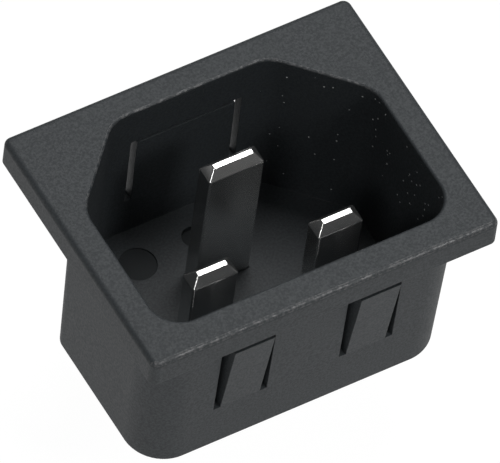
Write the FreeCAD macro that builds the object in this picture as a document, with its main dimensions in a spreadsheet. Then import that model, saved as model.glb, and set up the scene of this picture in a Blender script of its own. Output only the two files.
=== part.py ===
import FreeCAD, Part
import os
import Sketcher
from FreeCAD import Vector

# Snap-in mains inlet for a panel: one moulded housing and three pushed-in blade contacts.
# Millimetres. The panel seat (back of the flange) is the plane z = 0, centred on the shroud.
# +Z points out of the panel towards the mating plug, +X along the long side, +Y to the earth side.

os.makedirs("parts", exist_ok=True)
doc = FreeCAD.newDocument("panel_inlet")

driving_sizes = {
    # flange in front of the panel
    "flange_length": 36.0,
    "flange_height": 28.0,
    "flange_thickness": 3.0,
    "flange_corner": 0.8,
    "flange_edge": 0.6,
    # shroud behind the panel, measured in the seating plane
    "shroud_length": 32.4,
    "shroud_height": 24.4,
    "shroud_depth": 17.9,
    "shroud_corner": 3.9,
    "shroud_bend": 1.5,
    "rear_edge": 0.4,
    "draft_angle": 1.2,
    # walls round the plug cavity in the same plane, and its two cut corners on the earth side
    "side_wall": 1.2,
    "near_wall": 1.35,
    "far_wall": 1.05,
    "cut_wall": 1.2,
    "cut_length": 7.0,
    "cut_rise": 7.3,
    "cavity_corner": 3.0,
    "cavity_bend": 3.5,
    "mouth_edge": 0.3,
    "floor_thickness": 2.5,
    # sprung tongues that catch behind the panel
    "panel_limit": 2.0,
    "panel_clearance": 0.05,
    "tip_slot": 0.4,
    "tongue_lean": 1.15,
    "near_hinge_depth": 11.9,
    "near_tongue_gap": 0.74,
    "near_tongue_width": 4.1,
    "near_tongue_pitch": 13.1,
    "far_hinge_depth": 10.6,
    "far_tongue_gap": 0.7,
    "far_tongue_width": 10.2,
    # round ejector marks in the cavity floor
    "large_mark": 3.6,
    "large_mark_depth": 0.12,
    "large_mark_x": 6.1,
    "large_mark_y": 7.1,
    "small_mark": 2.3,
    "small_mark_depth": 0.6,
    "small_mark_y": 7.5,
    # blades, where the mating plug reaches them
    "pole_pitch": 13.0,
    "pole_line": 4.75,
    "earth_line": 3.3,
    "pole_width": 4.7,
    "earth_width": 5.74,
    "blade_thickness": 2.0,
    "pole_setback": 3.5,
    "earth_setback": 0.75,
    "bevel_ends": 0.8,
    "bevel_sides": 0.75,
    "bevel_height": 1.05,
    "blade_edge": 0.2,
    "slot_clearance": 0.02,
    # push-on tabs behind the floor
    "shoulder_thickness": 1.0,
    "tab_width": 6.3,
    "tab_thickness": 0.8,
    "tab_length": 8.0,
    "tab_chamfer": 0.9,
    "tab_hole": 1.65,
    "tab_hole_reach": 4.0,
}
sizes = doc.addObject("Spreadsheet::Sheet", "sizes")
for row, (alias, number) in enumerate(driving_sizes.items(), start=1):
    sizes.set(f"A{row}", alias)
    sizes.set(f"B{row}", str(number))
    sizes.setAlias(f"B{row}", alias)
doc.recompute()

# Places that follow from the driving sizes, as expressions of the sheet
half_length = "sizes.shroud_length / 2"
half_height = "sizes.shroud_height / 2"
cavity_side = f"({half_length} - sizes.side_wall)"
cavity_near = f"(-{half_height} + sizes.near_wall)"
cavity_far = f"({half_height} - sizes.far_wall)"
cut_slant = "sqrt(sizes.cut_length ^ 2 + sizes.cut_rise ^ 2)"
cut_offset = f"sizes.cut_wall * {cut_slant}"
outer_cut_x = (
    f"({cavity_side} - sizes.cut_length"
    f" + ({cut_offset} - sizes.cut_length * sizes.far_wall) / sizes.cut_rise)"
)
outer_cut_y = (
    f"({cavity_far} - sizes.cut_rise"
    f" + ({cut_offset} - sizes.cut_rise * sizes.side_wall) / sizes.cut_length)"
)
floor_level = "(sizes.floor_thickness - sizes.shroud_depth)"
cavity_depth = f"(sizes.flange_thickness - {floor_level})"
tip_level = "-(sizes.panel_limit + sizes.panel_clearance)"
window_top = f"({tip_level} + sizes.tip_slot)"
slot_room = "2 * sizes.slot_clearance"

# Edges are found by where they lie, to within this distance
touch = 1e-4
steep = 0.9


def value(expression):
    return float(sizes.evalExpression(expression))


def origin_plane(body, role):
    return next(plane for plane in body.Origin.OriginFeatures if plane.Role == role)


def new_body(label):
    body = doc.addObject("PartDesign::Body", label)
    body.Label = label
    return body


def new_sketch(body, name, role, offset="0"):
    sketch = body.newObject("Sketcher::SketchObject", name)
    sketch.AttachmentSupport = (origin_plane(body, role), [""])
    sketch.MapMode = "FlatFace"
    sketch.setExpression("AttachmentOffset.Base.z", offset)
    return sketch


def constrain(sketch, kind, elements, expression):
    index = sketch.addConstraint(Sketcher.Constraint(kind, *elements, value(expression)))
    sketch.setExpression(f"Constraints[{index}]", expression)


def draw_outline(sketch, corners):
    start = sketch.GeometryCount
    count = len(corners)
    points = [Vector(value(across), value(up), 0) for across, up in corners]
    for i in range(count):
        sketch.addGeometry(Part.LineSegment(points[i], points[(i + 1) % count]), False)
    for i, (across, up) in enumerate(corners):
        following = start + (i + 1) % count
        sketch.addConstraint(Sketcher.Constraint("Coincident", start + i, 2, following, 1))
        constrain(sketch, "DistanceX", (-1, 1, start + i, 1), across)
        constrain(sketch, "DistanceY", (-1, 1, start + i, 1), up)


def draw_rectangle(sketch, width, height, across="0", up="0"):
    left, right = f"{across} - ({width}) / 2", f"{across} + ({width}) / 2"
    low, high = f"{up} - ({height}) / 2", f"{up} + ({height}) / 2"
    draw_outline(sketch, [(left, low), (right, low), (right, high), (left, high)])


def draw_circle(sketch, diameter, across, up):
    centre = Vector(value(across), value(up), 0)
    index = sketch.addGeometry(Part.Circle(centre, Vector(0, 0, 1), value(diameter) / 2), False)
    constrain(sketch, "Diameter", (index,), diameter)
    constrain(sketch, "DistanceX", (-1, 1, index, 3), across)
    constrain(sketch, "DistanceY", (-1, 1, index, 3), up)


def extrude(body, kind, name, sketch, length, reverse=False, symmetric=False):
    feature = body.newObject(f"PartDesign::{kind}", name)
    feature.Profile = sketch
    feature.Reversed = reverse
    if symmetric:
        feature.SideType = "Symmetric"
    feature.setExpression("Length", length)
    doc.recompute()
    return feature


def cut_through(body, name, sketch, reverse=False, symmetric=False):
    feature = body.newObject("PartDesign::Pocket", name)
    feature.Profile = sketch
    feature.Type = "ThroughAll"
    feature.Reversed = reverse
    if symmetric:
        feature.SideType = "Symmetric"
    doc.recompute()


def draft_walls(body, name, low, high, reverse=False):
    base = body.Tip
    walls = [f"Face{i}" for i, face in enumerate(base.Shape.Faces, start=1) if spans(face, low, high)]
    feature = body.newObject("PartDesign::Draft", name)
    feature.Base = (base, walls)
    feature.NeutralPlane = (origin_plane(body, "XY_Plane"), [""])
    feature.Reversed = reverse
    feature.setExpression("Angle", "sizes.draft_angle")
    doc.recompute()


def dress_edges(body, kind, name, size, wanted):
    base = body.Tip
    chosen = [f"Edge{i}" for i, edge in enumerate(base.Shape.Edges, start=1) if wanted(edge)]
    feature = body.newObject(f"PartDesign::{kind}", name)
    feature.Base = (base, chosen)
    feature.setExpression("Radius" if kind == "Fillet" else "Size", size)
    doc.recompute()


def upright(edge):
    return edge.BoundBox.ZLength > steep * edge.Length


def spans(item, low, high):
    return abs(item.BoundBox.ZMin - low) < touch and abs(item.BoundBox.ZMax - high) < touch


def at_height(edge, height):
    return spans(edge, height, height)


def within(edge, half_x, half_y):
    box = edge.BoundBox
    reach_x = max(abs(box.XMin), abs(box.XMax))
    reach_y = max(abs(box.YMin), abs(box.YMax))
    return reach_x < half_x + touch and reach_y < half_y + touch


def round_corners(body, name, bend, corner, corners):
    near_limit = value("-sizes.pole_line")
    dress_edges(body, "Fillet", f"{name}_bends", bend,
                lambda edge: corners(edge) and edge.BoundBox.YMin > near_limit)
    dress_edges(body, "Fillet", f"{name}_corners", corner,
                lambda edge: corners(edge) and edge.BoundBox.YMin < near_limit)


def shroud_outline(side, near, far, cut_x, cut_y):
    return [
        (f"-{side}", near), (side, near), (side, cut_y),
        (cut_x, far), (f"-{cut_x}", far), (f"-{side}", cut_y),
    ]


def add_flange(body):
    sketch = new_sketch(body, "flange_sketch", "XY_Plane")
    draw_rectangle(sketch, "sizes.flange_length", "sizes.flange_height")
    extrude(body, "Pad", "flange", sketch, "sizes.flange_thickness")
    dress_edges(body, "Fillet", "flange_corners", "sizes.flange_corner", upright)
    front = value("sizes.flange_thickness")
    dress_edges(body, "Fillet", "flange_rim", "sizes.flange_edge", lambda edge: at_height(edge, front))


def add_shroud(body):
    sketch = new_sketch(body, "shroud_sketch", "XY_Plane")
    outline = shroud_outline(f"({half_length})", f"-{half_height}", half_height, outer_cut_x, outer_cut_y)
    draw_outline(sketch, outline)
    extrude(body, "Pad", "shroud", sketch, "sizes.shroud_depth", reverse=True)
    draft_walls(body, "shroud_draft", value("-sizes.shroud_depth"), 0, reverse=True)


def add_cavity(body):
    sketch = new_sketch(body, "cavity_sketch", "XY_Plane", "sizes.flange_thickness")
    cut_x = f"({cavity_side} - sizes.cut_length)"
    cut_y = f"({cavity_far} - sizes.cut_rise)"
    draw_outline(sketch, shroud_outline(cavity_side, cavity_near, cavity_far, cut_x, cut_y))
    extrude(body, "Pocket", "cavity", sketch, cavity_depth)
    floor, front = value(floor_level), value("sizes.flange_thickness")
    draft_walls(body, "cavity_draft", floor, front)
    round_corners(body, "cavity", "sizes.cavity_bend", "sizes.cavity_corner",
                  lambda edge: upright(edge) and spans(edge, floor, front))


def soften_shroud(body):
    rear, front = value("-sizes.shroud_depth"), value("sizes.flange_thickness")
    round_corners(body, "shroud", "sizes.shroud_bend", "sizes.shroud_corner",
                  lambda edge: upright(edge) and spans(edge, rear, 0))
    dress_edges(body, "Fillet", "rear_rim", "sizes.rear_edge", lambda edge: at_height(edge, rear))
    dress_edges(body, "Fillet", "mouth_rim", "sizes.mouth_edge",
                lambda edge: at_height(edge, front) and within(edge, value(half_length), value(half_height)))


def slot_outline(middle, width, gap, hinge):
    tongue = f"({width} / 2)"
    window = f"({tongue} + {gap})"
    return [
        (f"{middle} - {window}", f"-{hinge}"), (f"{middle} - {tongue}", f"-{hinge}"),
        (f"{middle} - {tongue}", tip_level), (f"{middle} + {tongue}", tip_level),
        (f"{middle} + {tongue}", f"-{hinge}"), (f"{middle} + {window}", f"-{hinge}"),
        (f"{middle} + {window}", window_top), (f"{middle} - {window}", window_top),
    ]


def cut_tongues_free(body):
    near = new_sketch(body, "near_slots_sketch", "XZ_Plane")
    for side in ("-1", "1"):
        middle = f"{side} * sizes.near_tongue_pitch / 2"
        outline = slot_outline(middle, "sizes.near_tongue_width", "sizes.near_tongue_gap",
                               "sizes.near_hinge_depth")
        draw_outline(near, outline)
    cut_through(body, "near_slots", near, reverse=True)
    far = new_sketch(body, "far_slot_sketch", "XZ_Plane")
    outline = slot_outline("0", "sizes.far_tongue_width", "sizes.far_tongue_gap", "sizes.far_hinge_depth")
    draw_outline(far, outline)
    cut_through(body, "far_slot", far)


def wedge_section(side, wall, hinge):
    hinge_face = f"({half_height} - {hinge} * tan(sizes.draft_angle))"
    wall_middle = f"({half_height} - {wall} / 2)"
    section = [
        (hinge_face, f"-{hinge}"),
        (f"({hinge_face} + sizes.tongue_lean)", tip_level),
        (wall_middle, tip_level),
        (wall_middle, f"-{hinge}"),
    ]
    return [(f"{side} * {out}", up) for out, up in section]


def add_wedges(body):
    near = new_sketch(body, "near_wedge_sketch", "YZ_Plane", "sizes.near_tongue_pitch / 2")
    draw_outline(near, wedge_section("-1", "sizes.near_wall", "sizes.near_hinge_depth"))
    wedge = extrude(body, "Pad", "near_wedge", near, "sizes.near_tongue_width", symmetric=True)
    pair = body.newObject("PartDesign::Mirrored", "near_wedges")
    pair.Originals = [wedge]
    pair.MirrorPlane = (origin_plane(body, "YZ_Plane"), [""])
    body.Tip = pair
    doc.recompute()
    far = new_sketch(body, "far_wedge_sketch", "YZ_Plane")
    draw_outline(far, wedge_section("1", "sizes.far_wall", "sizes.far_hinge_depth"))
    extrude(body, "Pad", "far_wedge", far, "sizes.far_tongue_width", symmetric=True)


def add_floor_details(body):
    large = new_sketch(body, "large_mark_sketch", "XY_Plane", floor_level)
    draw_circle(large, "sizes.large_mark", "-sizes.large_mark_x", "sizes.large_mark_y")
    extrude(body, "Pocket", "large_mark", large, "sizes.large_mark_depth")
    small = new_sketch(body, "small_mark_sketch", "XY_Plane", floor_level)
    draw_circle(small, "sizes.small_mark", "0", "sizes.small_mark_y")
    extrude(body, "Pocket", "small_mark", small, "sizes.small_mark_depth")
    slots = new_sketch(body, "slots_sketch", "XY_Plane", floor_level)
    thickness = f"sizes.blade_thickness + {slot_room}"
    for across, up, width in blade_places.values():
        draw_rectangle(slots, f"{width} + {slot_room}", thickness, across, up)
    cut_through(body, "blade_slots", slots)


def make_housing():
    body = new_body("housing")
    add_flange(body)
    add_shroud(body)
    add_cavity(body)
    soften_shroud(body)
    cut_tongues_free(body)
    add_wedges(body)
    add_floor_details(body)
    return body


def make_pin(label, setback):
    across, up, width = blade_places[label]
    body = new_body(label)
    body.setExpression("Placement.Base.x", across)
    body.setExpression("Placement.Base.y", up)
    rear = "-sizes.shroud_depth"
    tip = f"(sizes.flange_thickness - {setback})"
    bevel_start = f"({tip} - sizes.bevel_height)"
    shank = new_sketch(body, f"{label}_blade_sketch", "XY_Plane", rear)
    draw_rectangle(shank, width, "sizes.blade_thickness")
    extrude(body, "Pad", f"{label}_blade", shank, f"{bevel_start} - ({rear})")
    base = new_sketch(body, f"{label}_bevel_base", "XY_Plane", bevel_start)
    draw_rectangle(base, width, "sizes.blade_thickness")
    crown = new_sketch(body, f"{label}_bevel_top", "XY_Plane", tip)
    draw_rectangle(crown, f"{width} - 2 * sizes.bevel_ends", "sizes.blade_thickness - 2 * sizes.bevel_sides")
    bevel = body.newObject("PartDesign::AdditiveLoft", f"{label}_bevel")
    bevel.Profile = base
    bevel.Sections = [crown]
    bevel.Ruled = True
    doc.recompute()
    dress_edges(body, "Fillet", f"{label}_blade_edges", "sizes.blade_edge",
                lambda edge: not at_height(edge, value(rear)))
    shoulder = new_sketch(body, f"{label}_shoulder_sketch", "XY_Plane", rear)
    draw_rectangle(shoulder, "sizes.tab_width", "sizes.blade_thickness")
    extrude(body, "Pad", f"{label}_shoulder", shoulder, "sizes.shoulder_thickness", reverse=True)
    tab_start = f"({rear} - sizes.shoulder_thickness)"
    tab = new_sketch(body, f"{label}_tab_sketch", "XY_Plane", tab_start)
    draw_rectangle(tab, "sizes.tab_width", "sizes.tab_thickness")
    extrude(body, "Pad", f"{label}_tab", tab, "sizes.tab_length", reverse=True)
    end = value(f"{tab_start} - sizes.tab_length")
    dress_edges(body, "Chamfer", f"{label}_tab_corners", "sizes.tab_chamfer",
                lambda edge: at_height(edge, end) and edge.BoundBox.XLength < touch)
    hole = new_sketch(body, f"{label}_hole_sketch", "XZ_Plane")
    draw_circle(hole, "sizes.tab_hole", "0", f"{tab_start} - sizes.tab_length + sizes.tab_hole_reach")
    cut_through(body, f"{label}_tab_hole", hole, symmetric=True)
    return body


# Each blade's place in the cavity and its width
blade_places = {
    "line_pin": ("-sizes.pole_pitch / 2", "-sizes.pole_line", "sizes.pole_width"),
    "neutral_pin": ("sizes.pole_pitch / 2", "-sizes.pole_line", "sizes.pole_width"),
    "earth_pin": ("0", "sizes.earth_line", "sizes.earth_width"),
}
parts = [
    make_housing(),
    make_pin("line_pin", "sizes.pole_setback"),
    make_pin("neutral_pin", "sizes.pole_setback"),
    make_pin("earth_pin", "sizes.earth_setback"),
]
doc.recompute()

faults = [item.Name for item in doc.Objects if {"Invalid", "Error"} & set(item.State)]
if faults:
    raise RuntimeError(f"these objects failed: {faults}")
for body in parts:
    shape = body.Shape
    if shape.isNull() or not shape.isValid() or len(shape.Solids) != 1:
        raise RuntimeError(f"{body.Label} isn't one valid solid")
for body in parts:
    body.Shape.exportStep(f"parts/{body.Label}.step")
    print(body.Label, round(body.Shape.Volume, 2), body.Shape.BoundBox)
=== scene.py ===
import bpy
from mathutils import Matrix, Vector


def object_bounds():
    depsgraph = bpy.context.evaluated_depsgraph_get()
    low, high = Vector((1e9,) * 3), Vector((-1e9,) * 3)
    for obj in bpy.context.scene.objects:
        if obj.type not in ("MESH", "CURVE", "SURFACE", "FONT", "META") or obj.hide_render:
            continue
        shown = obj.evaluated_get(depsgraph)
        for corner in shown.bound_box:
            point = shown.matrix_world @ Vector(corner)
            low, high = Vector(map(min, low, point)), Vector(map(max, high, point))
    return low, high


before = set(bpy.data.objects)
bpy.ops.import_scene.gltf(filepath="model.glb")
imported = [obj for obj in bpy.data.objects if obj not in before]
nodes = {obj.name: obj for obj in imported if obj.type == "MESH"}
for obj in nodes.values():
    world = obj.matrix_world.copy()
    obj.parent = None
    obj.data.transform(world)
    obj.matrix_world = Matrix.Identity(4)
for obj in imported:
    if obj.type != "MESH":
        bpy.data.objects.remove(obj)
cadBox = [list(corner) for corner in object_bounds()]
scene = bpy.context.scene
mm = 0.001
print("frame loaded:", ", ".join(sorted(nodes)))


# helpers for node trees

def newMaterial(name):
    material = bpy.data.materials.new(name)
    material.use_nodes = True
    tree = material.node_tree
    shader = tree.nodes["Principled BSDF"]
    return material, tree, shader


def opaque(colour):
    return (*colour, 1.0)


def feed(tree, socket, item):
    if isinstance(item, bpy.types.NodeSocket):
        tree.links.new(item, socket)
    else:
        socket.default_value = item


def addNode(tree, kind, settings=None, **inputs):
    node = tree.nodes.new(kind)
    for key, item in (settings or {}).items():
        setattr(node, key, item)
    for key, item in inputs.items():
        feed(tree, node.inputs[key.replace("_", " ")], item)
    return node


def calculate(tree, operation, *sources):
    node = addNode(tree, "ShaderNodeMath", {"operation": operation})
    for socket, item in zip(node.inputs, sources):
        feed(tree, socket, item)
    return node.outputs["Value"]


def between(tree, source, low, high):
    return calculate(tree, "COMPARE", source, (low + high) / 2, (high - low) / 2)


def allOf(tree, mask, *others):
    for other in others:
        mask = calculate(tree, "MULTIPLY", mask, other)
    return mask


def dotProduct(tree, first, second):
    node = addNode(tree, "ShaderNodeVectorMath", {"operation": "DOT_PRODUCT"})
    feed(tree, node.inputs[0], first)
    feed(tree, node.inputs[1], second)
    return node.outputs["Value"]


def remap(tree, source, span, toLow, toHigh):
    low, high = span
    node = addNode(tree, "ShaderNodeMapRange", Value=source, From_Min=low, From_Max=high,
                   To_Min=toLow, To_Max=toHigh)
    return node.outputs["Result"]


def noise(tree, place, size, detail, roughness=0.5):
    scale = 1 / (2 * size * mm)   # one light and one dark patch of this size
    node = addNode(tree, "ShaderNodeTexNoise", Vector=place, Scale=scale, Detail=detail, Roughness=roughness)
    return node.outputs["Fac"]


def colourRamp(tree, source, places, colours):
    ramp = addNode(tree, "ShaderNodeValToRGB", Fac=source)
    marks = ramp.color_ramp.elements
    while len(marks) < len(places):
        marks.new(0.5)
    for mark, place, colour in zip(marks, places, colours):
        mark.position = place
        mark.color = opaque(colour)
    return ramp.outputs["Color"]


def mixNumber(tree, share, first, second):
    node = addNode(tree, "ShaderNodeMix", {"data_type": "FLOAT"})
    for index, item in ((0, share), (2, first), (3, second)):   # the node's sockets for numbers
        feed(tree, node.inputs[index], item)
    return node.outputs[0]


def mixColour(tree, share, first, second):
    node = addNode(tree, "ShaderNodeMix", {"data_type": "RGBA"})
    for index, item in ((0, share), (6, first), (7, second)):   # the node's sockets for colours
        feed(tree, node.inputs[index], item)
    return node.outputs[2]


# moulded charcoal plastic of the housing

plasticLook = {
    "dark": (0.0166, 0.0203, 0.0230),
    "pale": (0.0246, 0.0293, 0.0326),
    "toneSpan": (0.15, 0.85),   # where the colour goes from dark to pale
    "roughLow": 0.60,
    "roughHigh": 0.70,
    "specular": 0.47,
    "edgeRound": 0.10,          # mm
    "edgeSamples": 6,

    "grainSize": 0.11,          # mm, spark-eroded mould texture
    "grainDetail": (2.0, 0.65),   # octaves of the noise and their roughness
    "grainSpan": (0.36, 0.64),  # the part of the noise that is used
    "grainShare": 0.8,
    "grainDepth": 0.014,        # mm
    "grainStrength": 0.7,
    "mottleSize": 2.6,          # mm, slow change of tone
    "mottleDetail": (4.0, 0.55),
    "mottleSpan": (0.3, 0.7),
    "mottleShare": 0.2,

    "edge": (0.066, 0.068, 0.070),   # paler flecks on front-facing mould edges: a painted highlight
    "edgeTilt": (0.30, 0.97),   # a rounded edge's normal lies between these heights
    "edgeFront": -0.15,         # and leans this far to the front
    "sparkleSize": 0.17,        # mm, flecks along the edges, polished and painted paler as a highlight
    "sparkleDetail": (2.0, 0.6),
    "fleckSpan": (0.46, 0.60),
    "fleckLeast": 0.1,          # share of the painted highlight between the flecks
    "wornSpan": (0.42, 0.58),
    "wornLeast": 0.5,           # polish between the flecks
    "roughEdge": 0.36,
    "edgeStrength": 0.36,

    "mark": (0.0100, 0.0128, 0.0142),   # ejector marks sunk into the cavity floor, painted darker as the shade in their recesses
    "markLevels": (-17.4, -15.45),      # mm, from just above the rear to just below the cavity floor
    "markTilt": 0.9,            # their floors face upwards at least this much
    "roughMark": 0.80,

    "dust": (0.66, 0.68, 0.68),
    "dustSpacing": 0.62,        # mm
    "dustSize": 0.078,          # mm
    "dustShare": 0.20,          # places that hold a speck
    "dustBox": ((7.6, 15.05), (-11.2, 11.2), (-14.0, 2.4)),   # mm, the right-hand walls of the cavity
}


def makePlastic(look):
    material, tree, shader = newMaterial("charcoalMoulding")
    place = addNode(tree, "ShaderNodeTexCoord").outputs["Object"]
    axes = addNode(tree, "ShaderNodeSeparateXYZ", Vector=place).outputs
    normal = addNode(tree, "ShaderNodeNewGeometry").outputs["Normal"]
    lean = addNode(tree, "ShaderNodeSeparateXYZ", Vector=normal).outputs
    grain = noise(tree, place, look["grainSize"], *look["grainDetail"])
    mottle = noise(tree, place, look["mottleSize"], *look["mottleDetail"])
    sparkle = noise(tree, place, look["sparkleSize"], *look["sparkleDetail"])

    fineTone = remap(tree, grain, look["grainSpan"], 0.0, look["grainShare"])
    slowTone = remap(tree, mottle, look["mottleSpan"], 0.0, look["mottleShare"])
    tone = calculate(tree, "ADD", fineTone, slowTone)
    colour = colourRamp(tree, tone, look["toneSpan"], (look["dark"], look["pale"]))
    rough = remap(tree, grain, look["grainSpan"], look["roughHigh"], look["roughLow"])

    # rounded edges that face the front, rubbed a little smoother in flecks and painted paler there as a
    # highlight
    rounded = between(tree, lean["Z"], *look["edgeTilt"])
    frontal = calculate(tree, "LESS_THAN", lean["Y"], look["edgeFront"])
    edge = allOf(tree, rounded, frontal)
    paintedHighlight = allOf(tree, edge, remap(tree, sparkle, look["fleckSpan"], look["fleckLeast"], 1.0))
    worn = allOf(tree, edge, remap(tree, sparkle, look["wornSpan"], look["wornLeast"], 1.0))
    colour = mixColour(tree, paintedHighlight, colour, opaque(look["edge"]))
    rough = mixNumber(tree, worn, rough, look["roughEdge"])
    strength = mixNumber(tree, worn, look["grainStrength"], look["edgeStrength"])

    # the floors of the ejector marks lie between the cavity floor and the rear; they get painted shade and a
    # duller finish
    sunk = between(tree, axes["Z"], *(level * mm for level in look["markLevels"]))
    upward = calculate(tree, "GREATER_THAN", lean["Z"], look["markTilt"])
    mark = allOf(tree, sunk, upward)
    colour = mixColour(tree, mark, colour, opaque(look["mark"]))
    rough = mixNumber(tree, mark, rough, look["roughMark"])

    # a few specks of dust, on walls that face inwards
    specks = addNode(tree, "ShaderNodeTexVoronoi", Vector=place, Scale=1 / (look["dustSpacing"] * mm))
    pick = addNode(tree, "ShaderNodeSeparateColor", Color=specks.outputs["Color"]).outputs["Red"]
    near = calculate(tree, "LESS_THAN", specks.outputs["Distance"], look["dustSize"] / look["dustSpacing"])
    chosen = calculate(tree, "LESS_THAN", pick, look["dustShare"])
    inward = calculate(tree, "LESS_THAN", dotProduct(tree, place, normal), 0.0)
    within = [between(tree, axis, low * mm, high * mm) for axis, (low, high) in zip(axes, look["dustBox"])]
    dust = allOf(tree, near, chosen, inward, *within)
    colour = mixColour(tree, dust, colour, opaque(look["dust"]))

    softened = addNode(tree, "ShaderNodeBevel", {"samples": look["edgeSamples"]},
                       Radius=look["edgeRound"] * mm)
    bump = addNode(tree, "ShaderNodeBump", Strength=strength, Distance=look["grainDepth"] * mm,
                   Height=grain, Normal=softened.outputs["Normal"])
    feed(tree, shader.inputs["Base Color"], colour)
    feed(tree, shader.inputs["Roughness"], rough)
    feed(tree, shader.inputs["Normal"], bump.outputs["Normal"])
    feed(tree, shader.inputs["Specular IOR Level"], look["specular"])
    return material


# bright nickel plate of the three contacts

nickelLook = {
    "dull": (0.66, 0.66, 0.653),
    "bright": (0.72, 0.72, 0.712),
    "metallic": 0.97,           # a thin satin haze on the plate
    "roughLow": 0.20,
    "roughHigh": 0.23,
    "cloudSize": 1.19,          # mm, slow change of tone
    "cloudDetail": 3.0,
    "cloudSpan": (0.3, 0.7),
    "streakWidth": 0.30,        # mm, drawn along the blade
    "streakStretch": (1.0, 1.0, 0.04),
    "streakDetail": (3.0, 0.6),
    "streakSpan": (0.3, 0.7),
    "streakDepth": 0.0002,      # mm
    "streakStrength": 0.5,
}


def makeNickel(look):
    material, tree, shader = newMaterial("nickelPlate")
    place = addNode(tree, "ShaderNodeTexCoord").outputs["Object"]
    drawn = addNode(tree, "ShaderNodeMapping", Vector=place, Scale=look["streakStretch"]).outputs["Vector"]
    streak = noise(tree, drawn, look["streakWidth"], *look["streakDetail"])
    cloud = noise(tree, place, look["cloudSize"], look["cloudDetail"])
    colour = colourRamp(tree, cloud, look["cloudSpan"], (look["dull"], look["bright"]))
    rough = remap(tree, streak, look["streakSpan"], look["roughLow"], look["roughHigh"])
    bump = addNode(tree, "ShaderNodeBump", Strength=look["streakStrength"],
                   Distance=look["streakDepth"] * mm, Height=streak)
    feed(tree, shader.inputs["Base Color"], colour)
    feed(tree, shader.inputs["Roughness"], rough)
    feed(tree, shader.inputs["Normal"], bump.outputs["Normal"])
    feed(tree, shader.inputs["Metallic"], look["metallic"])
    return material


def dress(node, material):
    mesh = nodes[node].data
    mesh.materials.clear()
    mesh.materials.append(material)


dress("housing", makePlastic(plasticLook))
nickel = makeNickel(nickelLook)
for pin in ("line_pin", "neutral_pin", "earth_pin"):
    dress(pin, nickel)
print("materials set")


# floor under the rear tabs, white to the eye, with the object's faint shadow

floorLook = {
    "drop": 0.02,               # mm below the tabs
    "reach": 6.0,               # m
    "colour": (0.86, 0.86, 0.86),
    "paperShade": 0.97,
    "paperSize": 0.556,         # mm
    "paperDetail": 2.0,
    "paperSpan": (0.3, 0.7),
    "rough": 0.9,
    "specular": 0.1,
    "white": 1.04,
    "whiteShare": 0.94,         # the rest shows the shadow
}


def makeFloorFinish(look):
    material, tree, shader = newMaterial("paleFloor")
    place = addNode(tree, "ShaderNodeTexCoord").outputs["Object"]
    paper = noise(tree, place, look["paperSize"], look["paperDetail"])
    shade = [look["paperShade"] * part for part in look["colour"]]
    colour = colourRamp(tree, paper, look["paperSpan"], (shade, look["colour"]))
    feed(tree, shader.inputs["Base Color"], colour)
    feed(tree, shader.inputs["Roughness"], look["rough"])
    feed(tree, shader.inputs["Specular IOR Level"], look["specular"])

    # white for the camera and in reflections, paper for the light
    glow = addNode(tree, "ShaderNodeEmission", Color=opaque((1.0, 1.0, 1.0)), Strength=look["white"])
    path = addNode(tree, "ShaderNodeLightPath").outputs
    eye = calculate(tree, "MAXIMUM", path["Is Camera Ray"], path["Is Glossy Ray"])
    mix = addNode(tree, "ShaderNodeMixShader", Fac=calculate(tree, "MULTIPLY", eye, look["whiteShare"]))
    feed(tree, mix.inputs[1], shader.outputs["BSDF"])
    feed(tree, mix.inputs[2], glow.outputs["Emission"])
    feed(tree, tree.nodes["Material Output"].inputs["Surface"], mix.outputs["Shader"])
    return material


def makeFloor(look):
    low = cadBox[0][2] - look["drop"] * mm
    half = look["reach"] / 2
    mesh = bpy.data.meshes.new("floor")
    corners = [(-half, -half, low), (half, -half, low), (half, half, low), (-half, half, low)]
    mesh.from_pydata(corners, [], [(0, 1, 2, 3)])
    mesh.materials.append(makeFloorFinish(look))
    floor = bpy.data.objects.new("floor", mesh)
    scene.collection.objects.link(floor)


makeFloor(floorLook)
print("floor set")


# studio light: a broad box overhead, two smaller lamps at the front and a faint sky

lightRig = {
    "boxPower": 1.90,           # W
    "boxSize": 0.26,            # m
    "boxAt": (0.14, 0.14, 0.46),
    "edgePower": 1.08,          # fill from the front, which draws the line along the near edges
    "edgeSize": 0.14,
    "edgeAt": (0.190, -0.420, 0.390),
    "ridgePower": 0.60,         # small lamp for the glint on the blades' ridges
    "ridgeSize": 0.13,
    "ridgeAt": (-0.34, -0.28, 0.40),
}
skyLook = {
    "lowFront": 0.08,           # pale band low round the table
    "lowBack": 0.30,
    "midSky": 0.05,
    "highSky": 0.12,
    "bandStops": (0.56, 0.62, 0.84, 0.94),   # low to mid, mid to high; 0.5 is the horizon, 1 overhead
    "glowTowards": (-0.92, 0.40, 0.0),       # where the low band is strongest
    "glowSpan": (-0.3, 0.9),
}


def addLamp(name, rig):
    lamp = bpy.data.lights.new(f"{name}Lamp", "AREA")
    lamp.shape = "SQUARE"
    lamp.size = rig[f"{name}Size"]
    lamp.energy = rig[f"{name}Power"]
    thing = bpy.data.objects.new(f"{name}Lamp", lamp)
    spot = Vector(rig[f"{name}At"])
    thing.location = spot
    thing.rotation_mode = "QUATERNION"
    thing.rotation_quaternion = (-spot).to_track_quat("-Z", "Y")
    scene.collection.objects.link(thing)


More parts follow.
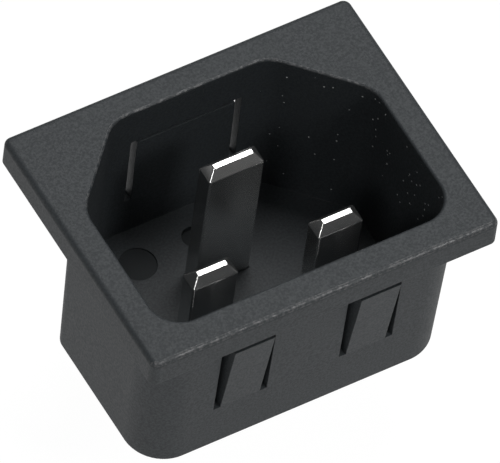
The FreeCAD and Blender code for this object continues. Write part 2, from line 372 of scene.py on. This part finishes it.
def makeSky(look):
    world = bpy.data.worlds.new("studio")
    world.use_nodes = True
    scene.world = world
    tree = world.node_tree
    direction = addNode(tree, "ShaderNodeTexCoord").outputs["Generated"]
    height = addNode(tree, "ShaderNodeSeparateXYZ", Vector=direction).outputs["Z"]
    level = remap(tree, height, (-1.0, 1.0), 0.0, 1.0)
    front, back, mid, high = ((look[key],) * 3 for key in ("lowFront", "lowBack", "midSky", "highSky"))
    frontSky = colourRamp(tree, level, look["bandStops"], (front, mid, mid, high))
    backSky = colourRamp(tree, level, look["bandStops"], (back, mid, mid, high))
    facing = dotProduct(tree, direction, look["glowTowards"])
    backShare = remap(tree, facing, look["glowSpan"], 0.0, 1.0)
    feed(tree, tree.nodes["Background"].inputs["Color"], mixColour(tree, backShare, frontSky, backSky))


for lampName in ("box", "edge", "ridge"):
    addLamp(lampName, lightRig)
makeSky(skyLook)
print("light set")


# camera at the viewing angle of the picture, 500 by 463

cameraSettings = {
    "towards": (-0.34576, -0.46810, 0.81322),
    "up": (0.36138, 0.73339, 0.57580),
    "target": (-1.789, -3.326, 0.325),   # mm, middle of the picture
    "distance": 1500.0,                  # mm
    "pixelsPerMm": 11.115,
    "pictureWidth": 500,
    "sensorWidth": 36.0,                 # mm
    "clipStart": 0.05,                   # m
    "clipEnd": 20.0,                     # m
}


def makeCamera(settings):
    data = bpy.data.cameras.new("photoCamera")
    camera = bpy.data.objects.new("photoCamera", data)
    back = Vector(settings["towards"]).normalized()
    right = Vector(settings["up"]).cross(back).normalized()
    up = back.cross(right)
    spin = Matrix((right, up, back)).transposed()
    spot = (Vector(settings["target"]) + back * settings["distance"]) * mm
    camera.matrix_world = Matrix.Translation(spot) @ spin.to_4x4()
    viewWidth = settings["pictureWidth"] / settings["pixelsPerMm"]
    data.sensor_width = settings["sensorWidth"]
    data.lens = settings["sensorWidth"] * settings["distance"] / viewWidth
    data.clip_start = settings["clipStart"]
    data.clip_end = settings["clipEnd"]
    scene.collection.objects.link(camera)
    scene.camera = camera


makeCamera(cameraSettings)
scene.view_settings.view_transform = "Standard"
print("camera set")

bpy.context.view_layer.update()
